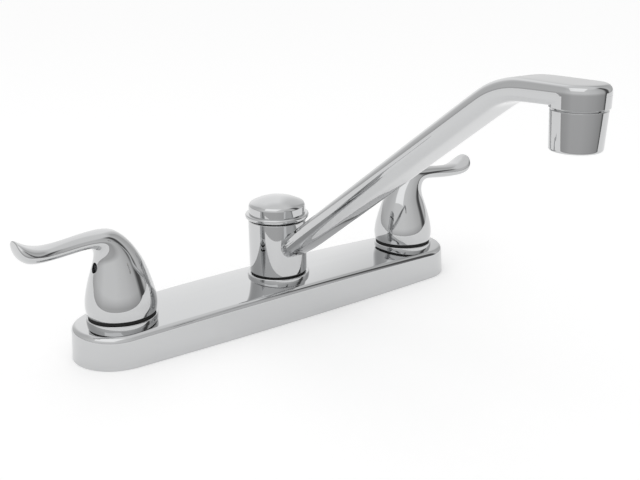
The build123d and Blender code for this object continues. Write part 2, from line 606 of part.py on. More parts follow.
def arm_solid(inset):
    """The arm from inside the collar to the round head, drawn in by inset."""
    start = COLLAR_RADIUS / 2
    bend = [bend_start + (bend_end - bend_start) * share for share in (0, 0.25, 0.5, 0.75, 1)]
    body = loft([arm_section(start, inset), arm_section(bend_start, inset)], ruled=True)
    body += loft([arm_section(reach, inset) for reach in bend])
    body += loft([arm_section(bend_end, inset), arm_section(SPOUT_REACH, inset)], ruled=True)
    half = Plane.XZ * (RectangleRounded(2 * (HEAD_RADIUS - inset), HEAD_THICKNESS - 2 * inset,
                                        HEAD_EDGE_RADIUS - WALL_CORNER_SHARE * inset)
                       & Pos(HEAD_RADIUS, 0) * Rectangle(2 * HEAD_RADIUS, 2 * HEAD_THICKNESS))
    return body + Pos(0, -SPOUT_REACH, ARM_HEAD_HEIGHT) * Rot(0, 0, 180) * revolve(half, Axis.Z, 180)


def spout_arm():
    """Hollow cast arm, from the collar's wall to the outlet neck."""
    body = arm_solid(0)
    body += rod(HEAD_RADIUS, head_bottom, ARM_HEAD_HEIGHT, 0, -SPOUT_REACH)
    body += rod(OUTLET_NECK_RADIUS, neck_bottom, ARM_HEAD_HEIGHT, 0, -SPOUT_REACH)
    body -= arm_solid(ARM_WALL)
    body -= rod(OUTLET_BORE, neck_bottom - CUT_MARGIN, ARM_HEAD_HEIGHT, 0, -SPOUT_REACH)
    return body - rod(COLLAR_RADIUS, 0, 2 * collar_top)


def spout_collar():
    """Turning sleeve round the post, with a port into the arm."""
    body = tube(COLLAR_RADIUS, COLLAR_RADIUS - COLLAR_WALL, collar_bottom, collar_top)
    rim = edges_at(body, collar_bottom, COLLAR_RADIUS) + edges_at(body, collar_top, COLLAR_RADIUS)
    body = chamfer(rim, COLLAR_EDGE)
    return body - arm_solid(ARM_WALL)


def aerator_housing():
    """Tapered sleeve that screws on the outlet neck, its lower rim turned in to hold the insert."""
    body = Pos(0, 0, (aerator_top + aerator_bottom) / 2) * Cone(
        AERATOR_BOTTOM_RADIUS, AERATOR_TOP_RADIUS, AERATOR_LENGTH)
    body = fillet(edges_at(body, aerator_bottom), AERATOR_EDGE_RADIUS)
    inner = OUTLET_NECK_RADIUS + THREAD_CLEARANCE
    rim = AERATOR_BOTTOM_RADIUS - AERATOR_WALL
    body -= rod(inner, neck_bottom - AERATOR_GASKET_THICKNESS, aerator_top + CUT_MARGIN)
    body -= rod(rim, aerator_bottom + AERATOR_WALL, aerator_top)
    body -= rod(rim - AERATOR_LIP, aerator_bottom - CUT_MARGIN, aerator_top)
    return Pos(0, -SPOUT_REACH, 0) * body


def aerator_gasket():
    """Rubber ring between the outlet neck and the insert."""
    bottom = neck_bottom - AERATOR_GASKET_THICKNESS
    return tube(insert_radius, OUTLET_BORE, bottom, neck_bottom, 0, -SPOUT_REACH)


def aerator_insert():
    """Plastic insert with a ring of jets round a solid core."""
    top = neck_bottom - AERATOR_GASKET_THICKNESS - AERATOR_SCREEN_THICKNESS
    bottom = aerator_bottom + AERATOR_WALL
    body = rod(insert_radius, bottom, top)
    jet = rod(AERATOR_JET_RADIUS, bottom - CUT_MARGIN, top + CUT_MARGIN, AERATOR_JET_CIRCLE)
    body -= [Rot(0, 0, 360 / AERATOR_JETS * k) * jet for k in range(AERATOR_JETS)]
    return Pos(0, -SPOUT_REACH, 0) * body


def aerator_screen():
    """Filter disc with square holes."""
    top = neck_bottom - AERATOR_GASKET_THICKNESS
    body = rod(insert_radius, top - AERATOR_SCREEN_THICKNESS, top)
    steps = int(AERATOR_SCREEN_FIELD / AERATOR_SCREEN_PITCH)
    holes = [Pos(i * AERATOR_SCREEN_PITCH, j * AERATOR_SCREEN_PITCH, top - AERATOR_SCREEN_THICKNESS)
             * extrude(Rectangle(AERATOR_SCREEN_SLOT, AERATOR_SCREEN_SLOT), AERATOR_SCREEN_THICKNESS)
             for i in range(-steps, steps + 1) for j in range(-steps, steps + 1)
             if AERATOR_SCREEN_PITCH * sqrt(i * i + j * j) < AERATOR_SCREEN_FIELD]
    return Pos(0, -SPOUT_REACH, 0) * (body - holes)


def save(name, *shapes):
    """Writes one named sub-part, as one or more solids."""
    solids = [s for shape in shapes for s in shape.solids()]
    export_step(Compound(children=solids) if len(solids) > 1 else solids[0], f"parts/{name}.step")


def main():
    os.makedirs("parts", exist_ok=True)
    save("deck_plate", deck_plate())
    save("base_plate", base_plate())
    for side, water in ((-1, "hot"), (1, "cold")):
        x = side * valve_x
        save(f"{water}_shank", shank(x))
        save(f"{water}_lock_nut", lock_nut(x))
        save(f"{water}_lock_washer", lock_washer(x))
        save(f"{water}_valve_body", valve_body(side))
        save(f"{water}_cross_tube", cross_tube(side))
        save(f"{water}_seat_seal", seat_seal(x))
        save(f"{water}_fixed_disc", port_disc(disc_floor, x))
        save(f"{water}_turning_disc", port_disc(disc_joint, x))
        save(f"{water}_cartridge_housing", cartridge_housing(x))
        save(f"{water}_cartridge_stem", cartridge_stem(x))
        save(f"{water}_bonnet_nut", bonnet_nut(x))
        save(f"{water}_handle_ring", handle_ring(x))
        save(f"{water}_glide_ring", glide_ring(x))
        save(f"{water}_handle", handle(side))
        save(f"{water}_set_screw", set_screw(side))
    save("centre_post", centre_post())
    save("post_o_rings", *[o_ring(post_radius, height) for height in ring_heights()])
    save("spout_base_ring", base_ring())
    save("lower_slip_washer", washer(base_ring_top, POST_WAIST_RADIUS + HOLE_CLEARANCE))
    save("upper_slip_washer", washer(collar_top + TURNING_GAP, POST_THREAD_RADIUS + HOLE_CLEARANCE))
    save("spout_cap_nut", cap_nut())
    save("spout_collar", spout_collar())
    save("spout_arm", spout_arm())
    save("aerator_housing", aerator_housing())
    save("aerator_gasket", aerator_gasket())
    save("aerator_screen", aerator_screen())
    save("aerator_insert", aerator_insert())


main()
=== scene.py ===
"""Visual model of a two handle deck mounted kitchen tap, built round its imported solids.

Metres, in the frame of the solids: the origin is the centre of the underside, +X runs along the
plate towards the cold handle, -Y points at the user and +Z is up.
"""

import json
from collections import namedtuple
from math import atan2, cos, pi, radians, sin, sqrt, tan

import bmesh
import bpy
from bpy.props import FloatProperty, FloatVectorProperty, IntProperty, PointerProperty
from mathutils import Matrix, Vector


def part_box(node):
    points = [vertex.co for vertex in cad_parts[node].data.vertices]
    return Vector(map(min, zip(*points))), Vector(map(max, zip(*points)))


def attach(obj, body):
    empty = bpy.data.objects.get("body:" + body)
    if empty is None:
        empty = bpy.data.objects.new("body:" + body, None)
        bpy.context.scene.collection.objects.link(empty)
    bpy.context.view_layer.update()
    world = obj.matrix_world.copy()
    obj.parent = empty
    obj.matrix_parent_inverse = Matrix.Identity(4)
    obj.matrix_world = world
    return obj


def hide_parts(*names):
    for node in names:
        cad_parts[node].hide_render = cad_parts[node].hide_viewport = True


bl_info = {
    "name": "Two Handle Kitchen Tap",
    "version": (1, 0, 0),
    "blender": (4, 5, 0),
    "location": "View3D > Sidebar > Tap",
    "description": "Builds the plated skins, finishes and studio of a two handle kitchen tap",
    "category": "Add Mesh",
}

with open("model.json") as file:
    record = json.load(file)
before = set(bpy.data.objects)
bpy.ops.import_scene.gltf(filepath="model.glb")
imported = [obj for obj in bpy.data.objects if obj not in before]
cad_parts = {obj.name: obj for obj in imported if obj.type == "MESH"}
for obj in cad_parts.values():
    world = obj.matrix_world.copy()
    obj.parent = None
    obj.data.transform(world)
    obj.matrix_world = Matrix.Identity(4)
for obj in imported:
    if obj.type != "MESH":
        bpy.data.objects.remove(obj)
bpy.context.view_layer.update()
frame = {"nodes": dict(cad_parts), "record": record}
WATERS = ("hot", "cold")
MM = 0.001


def top_of(node):
    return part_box(node)[1].z


def foot_of(node):
    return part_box(node)[0].z


def half_width(node):
    low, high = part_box(node)
    return (high.x - low.x) / 2


def middle_x(node):
    low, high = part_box(node)
    return (low.x + high.x) / 2


# --- sizes and colours ---
def length(name, text, value):
    """A length whose default is given in mm."""
    return FloatProperty(name=name, description=text, default=value * MM, unit="LENGTH", precision=5)


def angle(name, text, value):
    return FloatProperty(name=name, description=text, default=radians(value), subtype="ANGLE")


def colour(name, text, value):
    return FloatVectorProperty(name=name, description=text, default=value, subtype="COLOR", size=3,
                               min=0, max=1)


class PlateSizes(bpy.types.PropertyGroup):
    draft: length("Draft", "How far the side walls lean in over the crown's height", 1.1)
    side_radius: length("Side radius", "Radius of the long bowed sides", 2650.0)
    crown_radius: length("Crown radius", "Radius of the arched top along the plate", 2830.0)
    cross_radius: length("Cross radius", "Radius of the arched top across the plate", 190.0)
    rim_edge: length("Rim edge", "Width of the rounding along the rim", 2.7)
    rings: IntProperty(name="Rings", description="Rings that the top is divided into, inside the rim",
                       default=7)
    wall: length("Wall", "Thickness of the plated shell", 1.6)
    valve_hole: length("Valve hole", "Radius of the holes for the valve necks", 11.9)
    post_hole: length("Post hole", "Radius of the hole for the spout's post", 11.8)


class HandleSizes(bpy.types.PropertyGroup):
    height: length("Height", "From the skirt's lower edge to the neck's top", 46.9)
    skirt: length("Skirt radius", "Radius of the skirt's lower edge", 18.7)
    belly: length("Belly radius", "Widest radius, a little above the edge", 19.4)
    neck_front: length("Neck front", "From the axis to the hollow under the lever", 12.2)
    neck_width: length("Neck width", "Width of the neck under the lever's root", 18.0)
    reach: length("Reach", "From the axis to the lever's tip", 53.5)
    drop: length("Drop", "How far the lever's top dips below the neck's top", 2.2)
    lift: length("Lift", "How far the lever's tip rises again", 5.8)
    thickness: length("Thickness", "Lever's depth", 7.8)
    lean: length("Lean", "How far the lever's slices lean", 0.6)
    lever_width: length("Lever width", "Narrowest width of the lever", 12.6)
    paddle_width: length("Paddle width", "Widest width of the lever's paddle", 19.0)
    wall: length("Wall", "Thickness of the skirt's lower edge", 2.4)
    edge: length("Edge", "Rounding of the skirt's lower edge", 0.35)
    hollow: length("Hollow", "Height of the hollow under the bell", 24.0)
    turn: angle("Turn", "How far the closed lever points to the user", 4)
    screw_height: length("Set screw height", "Set screw hole above the skirt's edge", 27.0)
    screw_radius: length("Set screw hole", "Radius of the set screw's hole", 2.7)


class RingSizes(bpy.types.PropertyGroup):
    valve_bore: length("Valve ring bore", "Inner radius of the rings under the handles", 11.9)
    valve_edge: length("Valve ring edge", "Rounding of the rings under the handles", 0.45)
    glide_bore: length("Glide bore", "Inner radius of the black glide rings", 14.3)
    glide_edge: length("Glide edge", "Rounding of the black glide rings", 0.2)
    base_bore: length("Base bore", "Inner radius of the spout's base ring and slip washers", 11.8)
    base_edge: length("Base edge", "Rounding of the spout's base ring", 0.6)
    slip_edge: length("Slip edge", "Rounding of the slip washers", 0.15)
    collar_wall: length("Collar wall", "Thickness of the turning sleeve", 2.3)
    collar_edge: length("Collar edge", "Rounding of the turning sleeve's ends", 0.5)


class CapSizes(bpy.types.PropertyGroup):
    band: length("Band radius", "Radius of the upright band", 16.8)
    rise: length("Dome rise", "Height of the dome over the band", 4.6)
    bead: length("Bead thickness", "Height of the bead at the foot", 2.8)
    bead_edge: length("Bead edge", "Rounding of the bead", 1.15)
    band_edge: length("Band edge", "Rounding between the band and the dome", 1.5)
    bore: length("Bore", "Radius of the threaded bore", 11.05)
    bore_depth: length("Bore depth", "Depth of the threaded bore", 7.3)


class SpoutSizes(bpy.types.PropertyGroup):
    reach: length("Reach", "From the swing axis to the outlet", 204.0)
    slope: angle("Slope", "Rise of the arm", 35.4)
    bend: length("Bend radius", "Radius of the arm's bend", 39.0)
    level: length("Level stretch", "Between the bend and the round head", 8.5)
    head_height: length("Head height", "Centre line over the outlet", 151.2)
    root_width: length("Root width", "Width at the collar", 20.6)
    root_thickness: length("Root thickness", "Thickness at the collar", 12.6)
    root_sink: length("Root sink", "How far the root goes into the collar's wall", 1.2)
    bend_thickness: length("Bend thickness", "Thickness where the bend starts", 10.4)
    head_radius: length("Head radius", "Radius of the round end", 11.5)
    head_thickness: length("Head thickness", "Thickness over the outlet", 8.4)
    head_edge: length("Head edge", "Corner radius round the head", 2.9)
    corner_share: FloatProperty(name="Corner share", description="Corner radius over thickness",
                                default=0.44)
    collar: length("Collar radius", "Radius of the turning sleeve", 17.2)
    gap: length("Aerator gap", "Shadow line between the head and the aerator", 0.8)
    neck: length("Outlet neck", "Radius of the threaded neck inside the aerator", 9.2)
    neck_edge: length("Neck edge", "Rounding of the outlet neck's end", 0.4)
    boss_edge: length("Boss edge", "Rounding of the boss under the head", 0.3)
    bore: length("Outlet bore", "Radius of the waterway through the neck", 7.4)


class AeratorSizes(bpy.types.PropertyGroup):
    upper: length("Upper radius", "Radius at the top of the sleeve", 10.9)
    lower: length("Lower radius", "Radius at the foot of the sleeve", 10.2)
    upper_edge: length("Upper edge", "Rounding at the top of the sleeve", 0.25)
    lower_edge: length("Lower edge", "Rounding at the foot of the sleeve", 1.2)
    wall: length("Wall", "Thickness of the sleeve", 1.1)
    lip: length("Lip", "How far the foot turns in", 1.4)
    lip_edge: length("Lip edge", "Rounding of the turned-in lip", 0.3)
    bore: length("Bore", "Radius of the threaded bore", 9.3)
    bore_depth: length("Bore depth", "Depth of the threaded bore", 6.0)


class FinishColours(bpy.types.PropertyGroup):
    chrome: colour("Chrome", "Polished plating", (0.58, 0.585, 0.59))
    brass: colour("Brass", "Machined brass", (0.72, 0.53, 0.26))
    copper: colour("Copper", "Drawn copper", (0.78, 0.42, 0.28))
    steel: colour("Steel", "Zinc plated steel", (0.60, 0.60, 0.62))
    black: colour("Black", "Black plastic and rubber", (0.006, 0.006, 0.006))
    grey: colour("Grey", "Dark grey moulded plastic", (0.06, 0.06, 0.065))
    ivory: colour("Ivory", "Cartridge plastic", (0.80, 0.78, 0.72))
    ceramic: colour("Ceramic", "Lapped ceramic", (0.93, 0.92, 0.88))
    floor: colour("Floor", "Studio floor", (0.86, 0.86, 0.86))


# --- mesh tools ---
TOUCHING = 1e-6          # points nearer than this are one point
SPIN_GAP = 5e-5          # how far apart a spin may leave two ends that belong together
SEAM_GAP = 2e-5          # how far apart a cut's or the arm's points may be and still be one
EDGE_SEGMENTS = 5
TURN_STEPS = 128
HUB_STEPS = 160
AERATOR_STEPS = 144
DRILL_STEPS = 48
TURNED_ANGLE = 32        # degrees between faces that still look smooth
PLATE_ANGLE = 40


def deselect():
    """Leaves edit mode and selects nothing."""
    if bpy.context.object and bpy.context.object.mode != "OBJECT":
        bpy.ops.object.mode_set(mode="OBJECT")
    bpy.ops.object.select_all(action="DESELECT")


def select_only(obj):
    deselect()
    bpy.context.view_layer.objects.active = obj
    obj.select_set(True)


def edit(obj):
    select_only(obj)
    bpy.ops.object.mode_set(mode="EDIT")


def take_all():
    bpy.ops.mesh.select_all(action="SELECT")


def name_new(name):
    """Names the object that the last operator added."""
    obj = bpy.context.object
    obj.name = obj.data.name = name
    return obj


def pick(obj, test, kind="VERT"):
    """Selects the vertices or faces whose middle passes a test, and nothing else."""
    bpy.ops.mesh.select_mode(type=kind)
    bpy.ops.mesh.select_all(action="DESELECT")
    mesh = bmesh.from_edit_mesh(obj.data)
    if kind == "VERT":
        chosen = [v for v in mesh.verts if test(v.co)]
    else:
        chosen = [f for f in mesh.faces if test(f.calc_center_median())]
    for item in chosen:
        item.select_set(True)
    mesh.select_flush_mode()
    bmesh.update_edit_mesh(obj.data)


def point_start(name, place):
    """A new object whose mesh is one selected vertex."""
    deselect()
    bpy.ops.mesh.primitive_circle_add(vertices=3, radius=MM, location=(0, 0, 0))
    obj = name_new(name)
    edit(obj)
    take_all()
    bpy.ops.mesh.merge(type="CENTER")
    bpy.ops.transform.translate(value=place)
    return obj


def draw_line(places):
    """Extrudes the selected vertex from place to place."""
    for here, there in zip(places, places[1:]):
        step = Vector(there) - Vector(here)
        bpy.ops.mesh.extrude_region_move(TRANSFORM_OT_translate={"value": step})


def extrude_in_place():
    bpy.ops.mesh.extrude_region_move(TRANSFORM_OT_translate={"value": (0, 0, 0)})


def turn_about(turn, axis, centre):
    """Turns the selection anticlockwise seen from the axis's tip.

    Without a window the operator turns back to front.
    """
    sense = -1 if bpy.app.background else 1
    if turn:
        bpy.ops.transform.rotate(value=sense * turn, orient_axis=axis, center_override=centre)


def spin_round(x, y, steps, sweep=2 * pi):
    """Spins the selection anticlockwise seen from above, about an upright axis."""
    bpy.ops.mesh.spin(steps=steps, angle=-sweep, center=(x, y, 0), axis=(0, 0, 1))


def close_up(distance=TOUCHING):
    """Merges doubles, turns every face outwards and leaves edit mode."""
    bpy.ops.mesh.select_mode(type="VERT")
    take_all()
    bpy.ops.mesh.remove_doubles(threshold=distance)
    bpy.ops.mesh.normals_make_consistent(inside=False)
    bpy.ops.object.mode_set(mode="OBJECT")


def lathe(name, profile, y=0.0, steps=TURN_STEPS):
    """A turned piece. The closed profile is a list of (radius, height, rounding), in metres."""
    corners = [(r, y, z) for r, z, _ in profile]
    obj = point_start(name, corners[0])
    draw_line(corners + corners[:1])
    take_all()
    bpy.ops.mesh.remove_doubles(threshold=TOUCHING)
    for (_, _, edge), corner in zip(profile, corners):
        if edge:
            pick(obj, lambda co, c=Vector(corner): (co - c).length < TOUCHING)
            bpy.ops.mesh.bevel(offset=edge, segments=EDGE_SEGMENTS, profile=0.5, affect="VERTICES")
    take_all()
    spin_round(0, y, steps)
    close_up()
    return smooth(obj, TURNED_ANGLE)


def turned_ring(name, node, bore, edge, foot_edge=0.0, steps=TURN_STEPS):
    """A ring as wide and as high as a node."""
    foot, top, outer = foot_of(node), top_of(node), half_width(node)
    return lathe(name, [(bore, foot, 0), (outer, foot, foot_edge), (outer, top, edge), (bore, top, 0)],
                 steps=steps)


def smooth(obj, limit):
    select_only(obj)
    bpy.ops.object.shade_smooth_by_angle(angle=radians(limit))
    return obj


def apply_modifier(obj, kind, **settings):
    select_only(obj)
    modifier = obj.modifiers.new(kind.title(), kind)
    for key, value in settings.items():
        setattr(modifier, key, value)
    bpy.ops.object.modifier_apply(modifier=modifier.name)
    return obj


def subdivide_smooth(obj, levels):
    apply_modifier(obj, "SUBSURF", levels=levels, render_levels=levels)
    select_only(obj)
    bpy.ops.object.shade_smooth()
    return obj


def cut_round_hole(obj, centre, radius, depth, turn=(0, 0, 0)):
    """Drills a round hole with a boolean cut."""
    deselect()
    bpy.ops.mesh.primitive_cylinder_add(vertices=DRILL_STEPS, radius=radius, depth=depth,
                                        location=centre, rotation=turn)
    drill = bpy.context.object
    apply_modifier(obj, "BOOLEAN", operation="DIFFERENCE", object=drill, solver="MANIFOLD")
    bpy.data.objects.remove(drill)
    return obj


def pair(model):
    """The hot and the cold piece: a model made once, and its copy with its own mesh."""
    name = model.name
    select_only(model)
    bpy.ops.object.duplicate(linked=False)
    pieces = (model, bpy.context.object)
    for water, obj in zip(WATERS, pieces):
        obj.name = obj.data.name = f"{water}_{name}"
    return pieces


def seat(obj, x, z=0.0, turn=0.0):
    """Turns a piece made at the origin about +Z, takes it to its place and applies both to its mesh."""
    obj.location = (x, 0, z)
    obj.rotation_euler.z = turn
    select_only(obj)
    bpy.ops.object.transform_apply(location=True, rotation=True, scale=False)


def own(obj, body, slot, *nodes):
    """Puts a finished piece in the frame: its body, its slot and the solids it stands for."""
    obj.data.materials.clear()
    obj.data.materials.append(bpy.data.materials[FINISH_OF[slot]])
    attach(obj, body)
    if nodes:
        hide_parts(*nodes)


# --- finishes ---
FINISH_OF = {
    "plate_chrome": "polished_chrome", "handle_chrome": "polished_chrome",
    "ring_chrome": "polished_chrome", "cap_chrome": "polished_chrome",
    "spout_chrome": "polished_chrome", "aerator_chrome": "polished_chrome",
    "cast_brass": "turned_brass", "tube_copper": "drawn_copper",
    "base_plastic": "dark_moulding", "nut_plastic": "dark_moulding",
    "glide_plastic": "black_glide", "slip_plastic": "black_glide",
    "cartridge_plastic": "ivory_moulding", "insert_plastic": "ivory_moulding",
    "disc_ceramic": "lapped_ceramic", "seal_rubber": "black_rubber",
    "washer_steel": "zinc_steel", "screw_steel": "zinc_steel", "screen_steel": "zinc_steel",
}
# colour, metal, roughness, how far the roughness strays, relief, pattern's scale, how far the shade strays
FINISHES = {
    "polished_chrome": ("chrome", 1, 0.035, 0.015, 0, 60, 0.008),
    "turned_brass": ("brass", 1, 0.28, 0.06, 0.06, 900, 0.04),
    "drawn_copper": ("copper", 1, 0.3, 0.06, 0.05, 700, 0.05),
    "zinc_steel": ("steel", 1, 0.36, 0.07, 0.08, 800, 0.05),
    "black_glide": ("black", 0, 0.8, 0.08, 0.04, 1200, 0.1),
    "black_rubber": ("black", 0, 0.7, 0.08, 0.08, 1500, 0.1),
    "dark_moulding": ("grey", 0, 0.55, 0.08, 0.1, 1100, 0.08),
    "ivory_moulding": ("ivory", 0, 0.35, 0.05, 0.04, 700, 0.03),
    "lapped_ceramic": ("ceramic", 0, 0.15, 0.03, 0, 400, 0.01),
}
PATTERN_DETAIL = 4
RELIEF_DEPTH = 0.2 * MM


class TAP_OT_finishes(bpy.types.Operator):
    """Makes every finish and puts it on the solids that stay visible"""
    bl_idname = "tap.finishes"
    bl_label = "Finishes"

    def execute(self, context):
        colours = context.scene.tap_colours
        for name, (key, *looks) in FINISHES.items():
            self.finish(name, getattr(colours, key), *looks)
        slots = {part["node"]: part["material_slot"] for part in frame["record"]["subparts"]}
        for node, obj in frame["nodes"].items():
            obj.data.materials.clear()
            obj.data.materials.append(bpy.data.materials[FINISH_OF[slots[node]]])
        return {"FINISHED"}

    def finish(self, name, base, metal, roughness, stray, relief, scale, tint):
        """A procedural finish: colour, gloss and a faint relief vary over Object coordinates."""
        mat = bpy.data.materials.new(name)
        mat.use_nodes = True
        nodes, links = mat.node_tree.nodes, mat.node_tree.links
        shader = nodes["Principled BSDF"]
        shader.inputs["Metallic"].default_value = metal
        place = nodes.new("ShaderNodeTexCoord")
        noise = nodes.new("ShaderNodeTexNoise")
        noise.inputs["Scale"].default_value = scale
        noise.inputs["Detail"].default_value = PATTERN_DETAIL
        links.new(place.outputs["Object"], noise.inputs["Vector"])
        gloss = nodes.new("ShaderNodeMapRange")
        gloss.inputs["To Min"].default_value = roughness - stray
        gloss.inputs["To Max"].default_value = roughness + stray
        links.new(noise.outputs["Fac"], gloss.inputs["Value"])
        links.new(gloss.outputs["Result"], shader.inputs["Roughness"])
        shade = nodes.new("ShaderNodeMix")
        shade.data_type = "RGBA"
        shade.inputs["A"].default_value = (*[c * (1 - tint) for c in base], 1)
        shade.inputs["B"].default_value = (*[min(c * (1 + tint), 1) for c in base], 1)
        links.new(noise.outputs["Fac"], shade.inputs["Factor"])
        links.new(shade.outputs["Result"], shader.inputs["Base Color"])
        if relief:
            bump = nodes.new("ShaderNodeBump")
            bump.inputs["Strength"].default_value = relief
            bump.inputs["Distance"].default_value = RELIEF_DEPTH
            links.new(noise.outputs["Fac"], bump.inputs["Height"])
            links.new(bump.outputs["Normal"], shader.inputs["Normal"])


# --- deck plate ---
END_STEPS = 40
SIDE_STEPS = 32
RIM_SEGMENTS = 8
RIM_ANGLE = radians(45)   # a wall meets the top at more than this, and the rings meet at less


def plate_arcs():
    """The ends' radius, how far their centres and the sides' lie from the middle, half an end's sweep."""
    low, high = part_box("deck_plate")
    p = bpy.context.scene.tap_plate
    long, wide = high.x - low.x, high.y - low.y
    end = (p.side_radius * wide - long**2 / 4 - wide**2 / 4) / (2 * p.side_radius - long)
    end_x = long / 2 - end
    side_y = p.side_radius - wide / 2
    return end, end_x, side_y, atan2(side_y, end_x)


def crown_height(x, y):
    """Height of the arched top."""
    p = bpy.context.scene.tap_plate
    along = p.crown_radius - sqrt(p.crown_radius**2 - x * x)
    across = p.cross_radius - sqrt(p.cross_radius**2 - y * y)
    return top_of("deck_plate") - along - across


class TAP_OT_deck_plate(bpy.types.Operator):
    """Deck plate: bowed outline, leaning walls, rounded rim and a top arched both ways"""
    bl_idname = "tap.deck_plate"
    bl_label = "Deck plate"

    def execute(self, context):
        p = context.scene.tap_plate
        obj = self.outline()
        self.raise_shell(obj, p)
        self.slice_middle(obj)
        self.arch_top(obj)
        self.round_rim(obj, p)
        apply_modifier(obj, "SOLIDIFY", thickness=p.wall, offset=-1, use_even_offset=True)
        self.level_foot(obj)
        for node in ("hot_handle_ring", "cold_handle_ring", "spout_base_ring"):
            radius = p.post_hole if node == "spout_base_ring" else p.valve_hole
            cut_round_hole(obj, (middle_x(node), 0, foot_of(node)), radius, foot_of(node))
        smooth(obj, PLATE_ANGLE)
        apply_modifier(obj, "WEIGHTED_NORMAL", keep_sharp=True, weight=100)
        own(obj, "fixed_deck_unit", "plate_chrome", "deck_plate")
        return {"FINISHED"}

    def outline(self):
        """The foot's outline, spun from corner to corner round four centres, as one face."""
        end, end_x, side_y, lean = plate_arcs()
        x, y = end_x + end * cos(lean), end * sin(lean)
        corners = ((x, -y, 0), (x, y, 0), (-x, y, 0), (-x, -y, 0))
        centres = ((end_x, 0), (0, -side_y), (-end_x, 0), (0, side_y))
        arcs = ((END_STEPS, 2 * lean), (SIDE_STEPS, pi - 2 * lean))
        obj = point_start("deck_plate_skin", corners[0])
        for corner, centre, (steps, sweep) in zip(corners, centres, arcs + arcs):
            pick(obj, lambda co, c=Vector(corner): (co - c).length < SPIN_GAP)
            spin_round(*centre, steps, sweep)
        take_all()
        bpy.ops.mesh.remove_doubles(threshold=SPIN_GAP)
        bpy.ops.mesh.edge_face_add()
        return obj

    def raise_shell(self, obj, p):
        """Leaning walls and a flat top in rings, all inset from the outline's face.

        Half a ring's width is left in the middle, so the last inset doesn't fold over.
        """
        bpy.ops.mesh.select_mode(type="FACE")
        take_all()
        mesh = bmesh.from_edit_mesh(obj.data)
        mesh.faces.ensure_lookup_table()
        mesh.faces[0].normal_update()
        if mesh.faces[0].normal.z < 0:
            bpy.ops.mesh.flip_normals()
        rim = 2 * p.rim_edge
        bpy.ops.mesh.inset(thickness=p.draft, depth=top_of("deck_plate"))
        bpy.ops.mesh.inset(thickness=rim, depth=0)
        room = plate_arcs()[0] - p.draft - rim
        for _ in range(p.rings):
            bpy.ops.mesh.inset(thickness=room / (p.rings + 0.5), depth=0)

    def slice_middle(self, obj):
        """Cuts the long face left in the middle from each vertex to the one across."""
        mesh = bmesh.from_edit_mesh(obj.data)
        middle = [face for face in mesh.faces if face.select][0]
        stops = sorted({round(v.co.x, 5) for v in middle.verts})
        reach = max(abs(v.co.y) for v in middle.verts)
        top = top_of("deck_plate") - TOUCHING
        for x in stops[1:-1]:
            pick(obj, lambda co: co.z > top and abs(co.y) < reach / 2, "FACE")
            bpy.ops.mesh.bisect(plane_co=(x, 0, 0), plane_no=(1, 0, 0), threshold=SEAM_GAP)

    def arch_top(self, obj):
        """Lets the flat top's vertices down to the arch, the four that mirror each other together."""
        bpy.ops.mesh.select_mode(type="VERT")
        bpy.ops.mesh.select_all(action="DESELECT")
        mesh = bmesh.from_edit_mesh(obj.data)
        top = top_of("deck_plate")
        alike = {}
        for v in mesh.verts:
            if v.co.z > top - TOUCHING:
                alike.setdefault((round(abs(v.co.x), 5), round(abs(v.co.y), 5)), []).append(v.index)
        for (x, y), indices in alike.items():
            mesh = bmesh.from_edit_mesh(obj.data)
            mesh.verts.ensure_lookup_table()
            for index in indices:
                mesh.verts[index].select_set(True)
            bpy.ops.transform.translate(value=(0, 0, crown_height(x, y) - top))
            for index in indices:
                mesh.verts[index].select_set(False)

    def round_rim(self, obj, p):
        """Rounds the sharp edges where the walls meet the top."""
        bpy.ops.mesh.select_mode(type="EDGE")
        bpy.ops.mesh.select_all(action="DESELECT")
        mesh = bmesh.from_edit_mesh(obj.data)
        for edge in mesh.edges:
            if len(edge.link_faces) == 2 and edge.calc_face_angle() > RIM_ANGLE:
                edge.select_set(True)
        bmesh.update_edit_mesh(obj.data)
        bpy.ops.mesh.bevel(offset=p.rim_edge, segments=RIM_SEGMENTS, profile=0.5, affect="EDGES",
                           clamp_overlap=False)

    def level_foot(self, obj):
        """Flattens the wall's lower edge onto the deck."""
        edit(obj)
        pick(obj, lambda co: co.z < MM)
        bpy.ops.transform.resize(value=(1, 1, 0), center_override=(0, 0, 0))


# --- handles ---
SKIRT_CORNERS = 28
HOLLOW_SHARE = 0.7       # the hollow's radius at its roof over the skirt's
HOLLOW_LEAN = 0.8 * MM   # how much narrower the hollow is half way up
FLARE_HEIGHT = 1.4 * MM
FLARE_STEPS = (0.05 * MM, 0.2 * MM)   # how far the skirt is out over its edge, and at the flare's top
TIP_SHARE = 0.55         # the smaller ring that closes the lever's tip, and its step outwards
TIP_STEP = (0.25 * MM, 0, 0.1 * MM)
SKIN_LEVELS = 2
SCREW_HOLE_DEPTH = 9 * MM
# radius over the belly's, height
BELL_SLICES = ((1.0, 0.10), (0.955, 0.23), (0.85, 0.39))
# heights behind and in front, back and width over the belly's radius, swell past the neck's front in mm
NECK_SLICES = (
    (0.55, 0.52, -0.735, 1.43, 2.25),
    (0.69, 0.61, -0.56, 1.18, 0.8),
    (0.82, 0.68, -0.35, 1.04, 0.0),
    (0.925, 0.735, -0.10, 0.93, 0.0),
)
# top's place in mm and height, underside's flare in mm and height, width over the neck's
ROOT_SLICES = ((2.6, 0.99, 1.0, 0.785, 0.92), (10.4, 1.0, 3.2, 0.82, 0.85))
# place along the lever, share of the drop, of the thickness and of the lever's width
LEVER_SLICES = (
    (0.20, 0.30, 1.04, 1.05), (0.38, 0.72, 1.02, 1.0), (0.56, 1.0, 1.0, 1.08), (0.72, 0.95, 1.0, 1.25),
)
